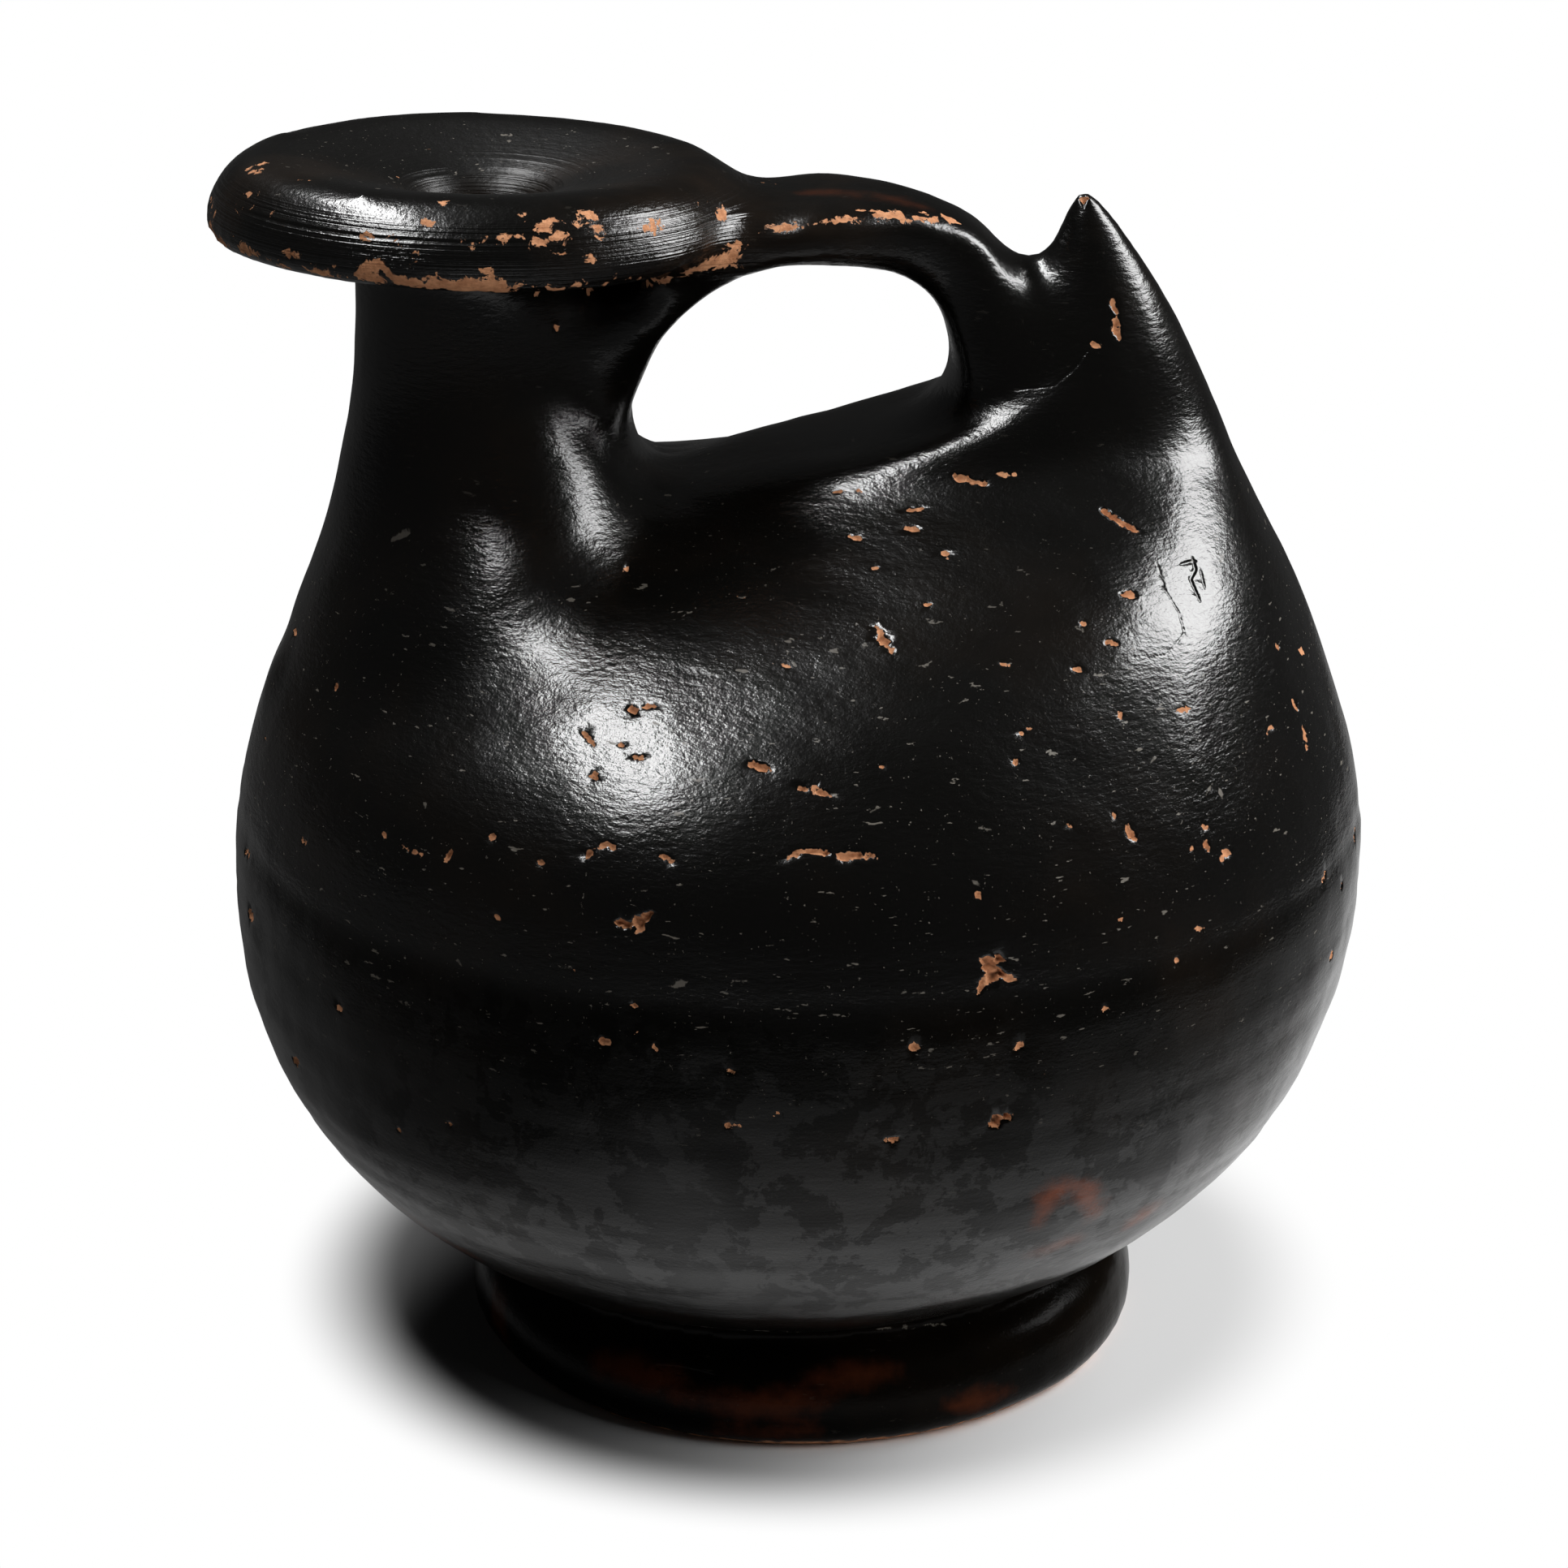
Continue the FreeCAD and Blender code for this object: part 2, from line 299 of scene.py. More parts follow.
def inner_forms():
    """Closed skins of the hollows that are taken out of the vessel."""
    w = WALL
    sink = 0.6 * w
    r = FOOT_JOINT_RADIUS - 2 * w
    z = FOOT_RECESS_DEPTH + FLOOR
    floor = ((BODY_SHIFT - r, z), (BODY_SHIFT + r, z), r)
    top = [((left[0] + w, left[1] - sink), (right[0] - w, right[1] - sink), half - w, egg)
           for left, right, half, egg in upper_stations()[:HOLLOW_SECTION_COUNT]]
    body = loft("body_space", [floor] + lower_stations(w)[1:] + top, step=3)
    left, right, half, egg = neck_stations(NECK_FLARE[:1], NECK_WALL)[0]
    base = ((left[0], left[1] - 1.5 * w), (right[0], right[1] - 1.5 * w), half, egg)
    b = BORE_RADIUS
    throat = ((NECK_X - b, RIM_Z), (NECK_X + b, RIM_Z), b, 0.0)
    neck = loft("neck_space", [base] + neck_stations(NECK_FLARE[1:-1], NECK_WALL) + [throat])
    t, d = RIM_THICKNESS, DISH_DEPTH
    dish = turned("dish", [(b, -NECK_RADIUS)], [
        (b, t - 1.6 * d), (b + 1.5, t - 0.85 * d), (0.62 * DISH_RADIUS, t - 0.45 * d),
        (DISH_RADIUS, t - 0.09 * d), (CREST_RADIUS, t)], [(CREST_RADIUS, t + 4)], at_rim())
    r = FOOT_RADIUS - FOOT_RING_WIDTH
    slope = 0.15 * r / FOOT_RECESS_DEPTH
    recess = turned("recess", [], [(r + slope, -1), (r, 0), (0.85 * r, FOOT_RECESS_DEPTH)])
    return [body, neck, dish, recess]


def applied(item):
    """Bake an object's modifiers into its mesh."""
    bpy.context.view_layer.update()
    mesh = bpy.data.meshes.new_from_object(item.evaluated_get(bpy.context.evaluated_depsgraph_get()))
    item.modifiers.clear()
    old = item.data
    item.data = mesh
    bpy.data.meshes.remove(old)
    return item


def combine(base, others, operation):
    """Join or cut the base with each of the others, which are used up."""
    for other in others:
        step = base.modifiers.new(operation.lower(), "BOOLEAN")
        step.operation = operation
        step.solver = "MANIFOLD"
        step.object = other
        applied(base)
        bpy.data.objects.remove(other)
    return base


def array(collection, key, width, kind=np.float64):
    """One property of a mesh collection as an array."""
    values = np.empty(len(collection) * width, kind)
    collection.foreach_get(key, values)
    return values.reshape(-1, width) if width > 1 else values


def neighbour_sum(points, edges):
    """Sum of the neighbours of each point along the edges."""
    count = len(points)
    return np.stack([np.bincount(edges[:, 0], points[edges[:, 1], k], count)
                     + np.bincount(edges[:, 1], points[edges[:, 0], k], count) for k in range(3)], 1)


def relax(points, edges, weight, rounds):
    """Move each point towards the mean of its neighbours, by its own weight."""
    degree = np.bincount(edges.ravel(), minlength=len(points))[:, None]
    for _ in range(rounds):
        points = points + weight[:, None] * (neighbour_sum(points, edges) / degree - points)
    return points


def spread(mask, edges, rounds):
    """Largest value among a point and its neighbours, repeated."""
    for _ in range(rounds):
        wider = mask.copy()
        np.maximum.at(wider, edges[:, 0], mask[edges[:, 1]])
        np.maximum.at(wider, edges[:, 1], mask[edges[:, 0]])
        mask = wider
    return mask


def ramp(value, low, high):
    """0 below low, 1 above high, smooth between."""
    u = np.clip((value - low) / (high - low), 0, 1)
    return u * u * (3 - 2 * u)


def put(item, points):
    """Write points in millimetres back into an object's mesh."""
    item.data.vertices.foreach_set("co", (points * MM).ravel())
    item.data.update()


def rim_height(points):
    """Height over the rim's underside along the rim's own tilted axis, and distance from that axis."""
    turn = np.array(at_rim().inverted())
    local = points @ turn[:3, :3].T + turn[:3, 3]
    return local[:, 2], np.hypot(local[:, 0], local[:, 1])


def is_inside(points, normals):
    """True on the hollow's wall, which faces the middle of the body."""
    middle = np.array([BODY_SHIFT, 0, BELLY_Z])
    facing = ((points - middle) * normals).sum(1) < 0
    return facing & (points[:, 2] > FOOT_HEIGHT + 0.6) & (points[:, 2] < height(0.45))


def fill_shoulder(mesh, points, edges):
    """Fill the hollow line where the neck runs out into the shoulder, without moving anything in."""
    x, y, z = points.T
    soft = ramp(-x, 20, 33) * ramp(z, 66, 76) * ramp(-z, -118, -106)
    soft[np.hypot(x - NECK_X, y) < NECK_RADIUS - 1.5] = 0
    used = np.flatnonzero(soft > 0)
    chosen = edges[(soft[edges] > 0).any(1)]
    mesh.vertices.foreach_set("co", (points * MM).ravel())
    mesh.update()
    normals = array(mesh.vertex_normals, "vector", 3)
    degree = np.maximum(np.bincount(chosen.ravel(), minlength=len(points)), 1)[used, None]
    for _ in range(SHOULDER_ROUNDS):
        mean = neighbour_sum(points, chosen)[used] / degree
        out = ((mean - points[used]) * normals[used]).sum(1)
        points[used] += normals[used] * (0.8 * soft[used] * np.maximum(out, 0))[:, None]
    return points


def joints_of(mesh, points, edges):
    """Share from 0 to 1 of how close each point lies to a joint between two forms."""
    normals = array(mesh.vertex_normals, "vector", 3)
    even = np.ones(len(points))
    pull = (relax(points, edges, even, 1) - points) * normals
    crease = (pull.sum(1) > CREASE_PULL).astype(float)
    under_rim = (points[:, 2] > RIM_Z - 3) & (np.hypot(points[:, 0] - NECK_X, points[:, 1]) < 22)
    crease[(points[:, 2] < 20) | is_inside(points, normals) | under_rim] = 0
    joint = spread(crease, edges, JOINT_REACH)
    return relax(joint[:, None] * np.ones((1, 3)), edges, even, JOINT_REACH)[:, 0]


def thin_hollow(item, points):
    """Leave few faces on the hollow's wall, which can't be seen."""
    inside = is_inside(points, array(item.data.vertex_normals, "vector", 3))
    group = item.vertex_groups.new(name="hollow")
    group.add([int(i) for i in np.flatnonzero(inside)], 1.0, "REPLACE")
    coarse = item.modifiers.new("coarse", "DECIMATE")
    coarse.vertex_group = group.name
    coarse.ratio = 1 - (1 - HOLLOW_SHARE) * inside.mean()
    applied(item)
    item.vertex_groups.clear()


def make_surface():
    """The vessel as one even mesh with hand-smoothed joints, coarse only inside the hollow."""
    outer = outer_forms()
    askos = combine(outer[0], outer[1:], "UNION")
    askos.name = askos.data.name = "askos_glazed"
    combine(askos, inner_forms(), "DIFFERENCE")
    even = askos.modifiers.new("even", "REMESH")
    even.mode = "VOXEL"
    even.voxel_size = VOXEL * MM
    applied(askos)
    mesh = askos.data
    edges = array(mesh.edges, "vertices", 2, np.int32)
    points = array(mesh.vertices, "co", 3) / MM
    tip = ramp(points[:, 2], 135, 140) * ramp(points[:, 0], 20, 26)
    points = relax(points, edges, 0.5 - 0.3 * tip, EVEN_ROUNDS)
    put(askos, points)
    points = relax(points, edges, 0.6 * joints_of(mesh, points, edges), JOINT_ROUNDS)
    over_rim, from_axis = rim_height(points)
    dish = ramp(over_rim, 0, 2) * ramp(-from_axis, 0.5 - RIM_RADIUS, 3 - RIM_RADIUS) * (over_rim < 12)
    points = relax(points, edges, 0.5 * dish, DISH_ROUNDS)
    points = fill_shoulder(mesh, points, edges)
    put(askos, points)
    thin_hollow(askos, points)
    return askos


# Camera in millimetres, its dip below the horizon and its focal length in pixels of the picture
CAMERA = (-2.179, -530.0, 275.44)
CAMERA_DIP = 0.372630
FOCAL_PIXELS = 5883.1
PICTURE_PIXELS = 1932

# Marks on the side that the camera sees, as strokes through points of the picture. Each row gives the
# half-width of the stroke in pixels, the depth in millimetres or the strength if any, and the points
CHIPS = (
    (5, 0.4, (777, 878), (788, 876)), (2.5, 0.3, (788, 876), (807, 874)),
    (4, 0.5, (916, 943), (934, 944), (950, 947)), (3, 1.3, (931, 945), (938, 944)),
    (3.5, 0.5, (986, 969), (1005, 973), (1024, 979)), (3, 0.4, (971, 1055), (990, 1048), (1018, 1050)),
    (4, 0.5, (1012, 1050), (1045, 1053), (1081, 1057)), (3, 0.4, (1080, 768), (1086, 784)),
    (5, 0.6, (1085, 780), (1091, 794)), (2.5, 0.3, (1091, 794), (1104, 810)),
    (5, 0.4, (1382, 731), (1396, 733)), (4, 0.3, (1366, 790), (1377, 794)),
    (3, 0.2, (1333, 768), (1336, 771)), (3, 0.3, (1236, 816), (1244, 820)),
    (4, 0.3, (1325, 822), (1333, 826)), (4, 0.4, (1593, 863), (1600, 874)),
    (4, 0.3, (1607, 896), (1612, 922)), (3, 0.2, (1563, 901), (1569, 895)),
    (2, 0.2, (1449, 876), (1466, 873)), (2, 0.2, (1377, 884), (1383, 879)),
    (2.5, 0.2, (1260, 902), (1267, 897)), (3.5, 0.4, (1251, 940), (1255, 938)),
    (3, 0.3, (722, 906), (730, 920)), (2, 0.2, (761, 917), (765, 919)), (3, 0.3, (782, 933), (792, 937)),
    (2.5, 0.3, (732, 948), (735, 960)), (3, 0.3, (603, 1027), (612, 1030)),
    (2, 0.2, (490, 1040), (510, 1050), (528, 1054)), (4, 0.4, (547, 1061), (554, 1050)),
    (4, 0.4, (724, 1056), (731, 1046)), (3, 0.4, (731, 1046), (752, 1040)),
    (2, 0.3, (752, 1040), (756, 1046)), (3.5, 0.4, (815, 1054), (828, 1061)),
    (3, 0.3, (660, 1058), (672, 1064)), (6, 0.7, (760, 1138), (778, 1140)),
    (7, 0.8, (778, 1140), (790, 1134)), (4, 0.6, (790, 1134), (800, 1125)),
    (3, 0.5, (784, 1147), (794, 1146)), (10, 0.9, (1216, 1194), (1234, 1202)),
    (6, 1.8, (1223, 1196), (1226, 1201)), (6, 0.7, (1211, 1183), (1236, 1186)),
    (4, 0.6, (1212, 1204), (1209, 1224)), (4, 0.5, (1240, 1204), (1255, 1208)),
    (9, 1.0, (1224, 1386), (1234, 1380)), (5, 0.8, (1236, 1380), (1247, 1376)),
    (5, 0.5, (1096, 1406), (1107, 1405)), (3, 0.3, (895, 1389), (911, 1387)),
    (2, 0.2, (954, 1376), (957, 1373)), (3, 0.3, (897, 1319), (903, 1321)),
    (3, 0.4, (740, 1278), (743, 1288)), (3, 0.3, (743, 1288), (750, 1284)),
    (2, 0.2, (779, 1275), (788, 1272)), (2, 0.2, (804, 1285), (808, 1294)),
    (3.5, 0.4, (1119, 1291), (1129, 1289)), (2.5, 0.3, (1253, 1291), (1261, 1288)),
    (2, 0.2, (1282, 1322), (1286, 1325)), (2, 0.2, (1361, 1242), (1366, 1244)),
    (3, 0.4, (548, 1384), (555, 1386)), (2.5, 0.3, (490, 1393), (494, 1397)),
    (5, 0.4, (1392, 1024), (1398, 1032)), (2.5, 0.3, (1392, 1014), (1394, 1024)),
    (5, 0.4, (1506, 1058), (1514, 1048)), (3.5, 0.4, (1487, 1036), (1490, 1047)),
    (2.5, 0.2, (1467, 1045), (1471, 1047)), (2.5, 0.2, (1483, 1017), (1487, 1019)),
    (2, 0.2, (1543, 996), (1546, 1001)), (2.5, 0.2, (1316, 1015), (1320, 1017)),
    (2.5, 0.2, (1374, 1005), (1377, 1011)), (3.5, 0.2, (1203, 1102), (1209, 1105)),
    (2.5, 0.2, (1381, 1132), (1383, 1136)), (2, 0.2, (1472, 1144), (1483, 1146)),
    (2, 0.2, (1370, 1183), (1375, 1186)), (2, 0.2, (1450, 1181), (1452, 1184)),
    (3, 0.3, (776, 1240), (782, 1242)), (3, 0.3, (610, 1128), (616, 1130)),
    (2.5, 0.2, (706, 1196), (710, 1198)), (3.5, 0.3, (1119, 627), (1136, 627)),
    (4, 0.3, (1117, 650), (1130, 652)), (3, 0.3, (1046, 659), (1062, 663)),
    (3, 0.3, (1162, 678), (1169, 686)), (3, 0.2, (1077, 700), (1080, 697)),
    (4.5, 0.4, (1177, 586), (1192, 590)), (2.5, 0.3, (1192, 590), (1214, 596)),
    (5, 0.6, (1359, 625), (1374, 637)), (4, 0.5, (1374, 637), (1400, 652)),
    (3, 0.4, (1370, 368), (1377, 388), (1373, 404), (1381, 419)), (4, 0.4, (1373, 404), (1378, 412)),
    (2.5, 0.2, (1344, 424), (1355, 426)), (3, 0.3, (766, 719), (776, 714)),
    (2, 0.2, (686, 404), (690, 410)), (1.5, 0.1, (954, 819), (977, 823)),
    (1.5, 0.1, (1030, 605), (1058, 604)), (1.5, 0.1, (1222, 582), (1254, 584)),
    (2, 0.2, (1140, 742), (1146, 744)), (2, 0.2, (910, 738), (916, 741)),
    (2, 0.2, (1086, 944), (1090, 946)), (1.5, 0.2, (371, 1035), (375, 1038)),
    (2, 0.2, (470, 1025), (474, 1032)), (2, 0.2, (415, 1242), (420, 1244)),
    (5, 0.3, (1332, 243), (1340, 243)), (2.5, 0.1, (1056, 257), (1100, 262)),
)
RIM_EDGE_WEAR = (
    (3, 0.2, (300, 209), (322, 210)), (3, 0.2, (360, 218), (382, 222)), (7, 0.3, (543, 249), (553, 250)),
    (4, 0.3, (522, 272), (536, 271)), (5, 0.3, (449, 291), (462, 291)), (3, 0.3, (462, 291), (474, 287)),
    (6, 0.4, (352, 312), (368, 318)), (5, 0.3, (296, 308), (324, 314)), (3, 0.3, (320, 200), (330, 199)),
    (7, 0.5, (260, 268), (266, 296)), (5, 0.4, (258, 250), (262, 268)), (9, 0.4, (440, 334), (470, 328)),
    (4, 0.3, (592, 297), (612, 298)), (5, 0.3, (662, 280), (690, 275)), (7, 0.4, (680, 290), (697, 292)),
    (5, 0.4, (690, 296), (694, 312)), (3, 0.3, (704, 276), (722, 272)), (5, 0.3, (741, 284), (747, 298)),
    (5, 0.3, (792, 284), (804, 278)), (5, 0.3, (804, 278), (822, 276)), (7, 0.3, (884, 270), (892, 258)),
    (4, 0.3, (725, 268), (742, 266)), (3, 0.2, (630, 296), (650, 300)), (3, 0.2, (484, 300), (500, 296)),
    (3, 0.2, (566, 300), (582, 306)), (3, 0.2, (720, 318), (742, 322)), (3, 0.2, (600, 330), (606, 334)),
    (3.5, 0.3, (330, 322), (434, 342)), (9, 0.4, (440, 340), (480, 344), (530, 352)),
    (5, 0.3, (530, 352), (590, 357), (660, 360)), (6, 0.3, (680, 358), (728, 355)),
    (4.5, 0.3, (728, 355), (800, 349), (835, 340)), (7, 0.3, (830, 340), (870, 328), (905, 308)),
    (4, 0.2, (640, 262), (646, 264)), (5, 0.2, (718, 262), (730, 264)), (3, 0.2, (300, 240), (312, 238)),
    (4, 0.3, (610, 290), (640, 294)), (4, 0.3, (655, 296), (672, 300)), (3, 0.2, (500, 308), (520, 312)),
    (4, 0.2, (926, 282), (1000, 275), (1060, 268)), (5, 0.3, (1060, 268), (1100, 266), (1130, 266)),
    (7, 0.4, (1130, 267), (1180, 272), (1224, 284)),
)
REDS = (
    (12, 1.0, (1280, 1512), (1292, 1476), (1318, 1458)),
    (11, 1.0, (1318, 1458), (1344, 1468), (1346, 1500)), (13, 1.0, (1398, 1506), (1418, 1492)),
    (6, 0.8, (1272, 1545), (1325, 1530)), (14, 0.6, (480, 1478), (520, 1512), (575, 1545)),
    (18, 0.4, (608, 1590), (620, 1650), (650, 1690)), (14, 0.4, (640, 1700), (690, 1730)),
    (16, 0.4, (740, 1680), (830, 1700)), (14, 0.4, (830, 1720), (930, 1735), (1010, 1725)),
    (9, 0.5, (880, 1765), (1000, 1765)), (10, 0.4, (1170, 1735), (1240, 1718)),
    (12, 0.3, (1000, 1700), (1100, 1690)), (10, 0.35, (920, 195), (1000, 235)),
    (10, 0.35, (1000, 235), (1140, 255)),
)
SCUFFS = (
    (5, (486, 666), (498, 660), (510, 655)), (3, (540, 621), (548, 624)), (5, (820, 1211), (846, 1213)),
    (4, (893, 1214), (930, 1213)), (2, (1185, 1010), (1232, 1026)), (2, (1340, 962), (1352, 950)),
    (1.5, (1062, 1006), (1072, 995), (1088, 994), (1090, 1003)), (2, (1400, 948), (1446, 918)),
    (2, (1478, 985), (1500, 962)), (3, (1500, 970), (1510, 985)), (2.5, (820, 1105), (832, 1118)),
    (2, (780, 1100), (800, 1094)), (2, (880, 1065), (893, 1052)), (3, (1195, 1080), (1212, 1096)),
    (2, (955, 790), (962, 802)), (2, (968, 800), (980, 822)), (3, (1326, 772), (1334, 778)),
    (1.5, (520, 985), (528, 1000)), (1.5, (556, 1010), (566, 1000)), (2, (455, 1200), (470, 1206)),
    (2.5, (1210, 470), (1204, 484)), (2, (560, 1180), (566, 1192)), (2, (625, 1150), (640, 1146)),
    (3, (616, 168), (632, 176)), (3, (640, 206), (660, 214)), (3, (338, 240), (350, 236)),
    (2.5, (760, 1627), (860, 1636), (960, 1640), (1080, 1638), (1200, 1630)),
)
CRACKS = (
    (0.7, (1427, 693), (1437, 727), (1453, 753), (1460, 780), (1437, 807), (1397, 810)),
    (2.2, (1456, 694), (1474, 690)), (2.0, (1470, 686), (1474, 700), (1468, 712), (1480, 740)),
    (1.2, (1480, 700), (1486, 724)), (0.7, (1202, 475), (1250, 480), (1298, 475)),
    (0.7, (1298, 475), (1322, 455), (1340, 433)), (5, (808, 1684), (840, 1690), (878, 1696)),
)


def picture_ray(u, v):
    """Direction from the camera through a point of the picture."""
    x = (u - PICTURE_PIXELS / 2) / FOCAL_PIXELS
    y = (v - PICTURE_PIXELS / 2) / FOCAL_PIXELS
    c, s = math.cos(CAMERA_DIP), math.sin(CAMERA_DIP)
    return Vector((x, c - y * s, -s - y * c)).normalized()


def on_surface(tree, rows):
    """Strokes of the picture laid on the vessel, as (half-width, depth, points) in millimetres."""
    strokes = []
    for row in rows:
        half, depth, pixels = (row[0], row[1], row[2:]) if np.isscalar(row[1]) else (row[0], 0, row[1:])
        hits = [tree.ray_cast(Vector(CAMERA), picture_ray(*p)) for p in pixels]
        points = [np.array(h[0]) for h in hits if h[0] is not None]
        reach = [h[3] for h in hits if h[0] is not None]
        if points:
            strokes.append((half * reach[0] / FOCAL_PIXELS, depth, points))
    return strokes


def hidden_strokes(tree, count, seed):
    """Scattered chips like those in the picture for the sides that it doesn't show."""
    rng = np.random.default_rng(seed)
    strokes = []
    while len(strokes) < count:
        turn = rng.uniform(-0.15, 1.15) * math.pi
        out = Vector((math.cos(turn), math.sin(turn), 0))
        level = rng.choice([rng.uniform(18, 60), rng.uniform(60, 96), rng.uniform(60, 96)])
        start = Vector((0, 0, level)) + out * 200
        hit = tree.ray_cast(start, -out)
        if hit[0] is None:
            continue
        along = Vector((-out.y, out.x, rng.uniform(-0.6, 0.6))).normalized() * rng.uniform(0.3, 2.6)
        other = tree.find_nearest(hit[0] + along)[0]
        half, depth = rng.uniform(0.18, 0.55), rng.uniform(0.2, 0.5)
        strokes.append((half, depth, [np.array(hit[0]), np.array(other)]))
    return strokes


def segments(strokes):
    """Half-width, depth, both ends and their shares of the whole for each straight bit of the strokes."""
    rows = []
    for half, depth, points in strokes:
        count = max(1, len(points) - 1)
        for k in range(count):
            end = points[min(k + 1, len(points) - 1)]
            rows.append((half, depth, points[k], end, k / count, (k + 1) / count))
    return rows


def tree_of(points):
    """Search tree over points."""
    tree = KDTree(len(points))
    for i, p in enumerate(points):
        tree.insert(p, i)
    tree.balance()
    return tree


def near(tree, a, b, reach):
    """Indices of the points of a search tree within reach of a line."""
    middle = (a + b) / 2
    return [i for _, i, _ in tree.find_range(middle, reach + np.linalg.norm(b - a) / 2)]


def distance(points, a, b):
    """Distance from points to a straight line between two ends, and the share of the way along it."""
    span = b - a
    share = np.clip((points - a) @ span / max(span @ span, 1e-9), 0, 1)
    return np.linalg.norm(points - a - share[:, None] * span, axis=1), share


def refine(item, strokes, margin, cuts):
    """Split the faces around the strokes more finely, bent with the surface."""
    grid = bmesh.new()
    grid.from_mesh(item.data)
    grid.faces.ensure_lookup_table()
    centres = np.array([f.calc_center_median() for f in grid.faces]) / MM
    tree = tree_of(centres)
    chosen = set()
    for half, _, a, b, _, _ in segments(strokes):
        found = np.array(near(tree, a, b, half + margin), int)
        if len(found):
            chosen.update(found[distance(centres[found], a, b)[0] < half + margin].tolist())
    edges = {e for i in chosen for e in grid.faces[i].edges}
    bmesh.ops.subdivide_edges(grid, edges=list(edges), cuts=cuts, use_grid_fill=True,
                              smooth=1.0, smooth_falloff="LINEAR")
    bmesh.ops.triangulate(grid, faces=[f for f in grid.faces if len(f.verts) > 4])
    grid.to_mesh(item.data)
    grid.free()


def field(points, tree, strokes, reach, floor=-9.0):
    """Signed distance in from the edge of the nearest stroke, and that stroke's depth."""
    inward = np.full(len(points), floor)
    deep = np.zeros(len(points))
    for half, depth, a, b, start, end in segments(strokes):
        found = np.array(near(tree, a, b, half + reach), int)
        if not len(found):
            continue
        away, share = distance(points[found], a, b)
        along = start + (end - start) * share
        value = half * (1.2 - 0.6 * (2 * along - 1) ** 2) - away
        better = value > inward[found]
        chosen = found[better]
        inward[chosen] = value[better]
        deep[chosen] = depth
    return inward, deep


def waves(points, size, seed, count=24):
    """Smooth random unevenness between about -1 and 1, with bumps about size across."""
    rng = np.random.default_rng(seed)
    way = rng.normal(size=(count, 3))
    way /= np.linalg.norm(way, axis=1)[:, None]
    rate = 2 * math.pi / (size * rng.uniform(0.7, 1.6, count))
    phase = rng.uniform(0, 2 * math.pi, count)
    total = np.zeros(len(points))
    for k in range(count):
        total += np.sin(points @ way[k] * rate[k] + phase[k])
    return total / math.sqrt(count)


def give(item, name, values):
    """Store one number per vertex for the material."""
    layer = item.data.attributes.new(name, "FLOAT", "POINT")
    layer.data.foreach_set("value", np.asarray(values, np.float32))


def swell_of(points):
    """How far the shoulder is fuller beside the neck's foot."""
    side = np.abs(points[:, 1])
    off = np.stack([points[:, 0], side, points[:, 2]], 1) - np.array(SWELL_MIDDLE)
    along = off @ np.array(SWELL_WAY)
    across = (off ** 2).sum(1) - along ** 2
    share = np.exp(-along ** 2 / (2 * SWELL_LENGTH ** 2) - across / (2 * SWELL_WIDTH ** 2))
    return SWELL_HEIGHT * share * ramp(side, 6, 16)


def lump_of(points):
    """How far the small lump of clay stands out."""
    away = ((points - np.array(LUMP_MIDDLE)) ** 2).sum(1)
    return LUMP_HEIGHT * np.exp(-away / (2 * LUMP_WIDTH ** 2))


def unevenness(points):
    """Height of the hand-made surface over the plain form: waves, turned bands and lines."""
    z = points[:, 2]
    uneven = 0.11 * waves(points, 26, 11) + 0.035 * waves(points, 8, 12) + 0.012 * waves(points, 3.2, 13)
    band = np.zeros(len(points))
    for level, drawn in BANDS:
        above = z - level
        band += drawn * ramp(above, -0.6, 0.9) * ramp(-above, -6.5, -0.5)
    low = ramp(-z, -78, -70) * ramp(z, 16, 20)
    turned_lines = 0.02 * np.sin(z * 1.9 + 0.8 * waves(points, 40, 15)) * low
    return -0.16 + np.clip(uneven, -0.3, 0.14) - band * low + turned_lines


